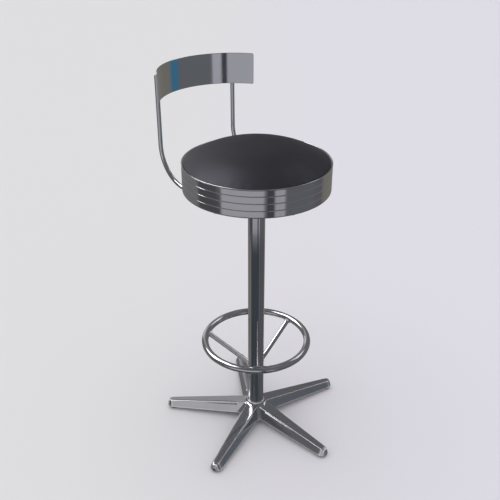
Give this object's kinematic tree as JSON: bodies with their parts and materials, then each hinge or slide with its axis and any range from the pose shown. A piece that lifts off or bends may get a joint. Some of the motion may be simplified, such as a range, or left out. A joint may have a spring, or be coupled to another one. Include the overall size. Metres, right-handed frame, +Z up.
{
  "type": "swivel counter stool",
  "caption": "Swivel counter stool: domed vinyl seat in a grooved chrome hoop, wrap-around back band on two rods, foot ring, cast star base.",
  "frame": {"origin": "on the floor, on the post's axis", "axes": "+Z up along the post, -Y towards the front, so the backrest stands on the +Y side"},
  "size_m": [0.5054, 0.5316, 1.0022],
  "materials": {
    "chrome": "mirror plated",
    "cast_aluminium": "polished casting",
    "vinyl": "fine-grained black vinyl",
    "foam": "cut polyurethane foam",
    "plywood": "bare plywood",
    "black_steel": "black powder coat",
    "zinc_steel": "zinc plated",
    "nylon": "natural nylon",
    "black_plastic": "moulded"
  },
  "bodies": {
    "base": {"base_casting": "cast_aluminium", "base_glide_1": "black_plastic", "base_glide_2": "black_plastic", "base_glide_3": "black_plastic", "base_glide_4": "black_plastic", "base_glide_5": "black_plastic", "base_washer": "zinc_steel", "base_bolt": "zinc_steel", "post_plug": "zinc_steel", "post_tube": "chrome", "bush_upper": "nylon", "bush_lower": "nylon", "thrust_washer": "zinc_steel", "footrest_ring": "chrome", "footrest_spoke_1": "chrome", "footrest_spoke_2": "chrome", "footrest_spoke_3": "chrome"},
    "seat": {"seat_ring": "chrome", "backrest_band": "chrome", "back_rod_left": "chrome", "back_rod_right": "chrome", "swivel_spindle": "zinc_steel", "spindle_nut": "zinc_steel", "carrier_bolt_1": "zinc_steel", "carrier_bolt_2": "zinc_steel", "carrier_bolt_3": "zinc_steel", "carrier_bolt_4": "zinc_steel", "carrier_spacer_1": "zinc_steel", "carrier_spacer_2": "zinc_steel", "carrier_spacer_3": "zinc_steel", "carrier_spacer_4": "zinc_steel", "ring_screw_1": "zinc_steel", "ring_screw_2": "zinc_steel", "ring_screw_3": "zinc_steel", "ring_screw_4": "zinc_steel", "ring_screw_5": "zinc_steel", "ring_screw_6": "zinc_steel", "seat_carrier": "black_steel", "seat_board": "plywood", "seat_cover": "vinyl", "seat_foam": "foam"}
  },
  "joints": [
    {"name": "seat_swivel", "type": "hinge", "parent": "base", "child": "seat", "pos_m": [0, 0, 0.68], "axis": [0, 0, 1], "continuous": true}
  ]
}
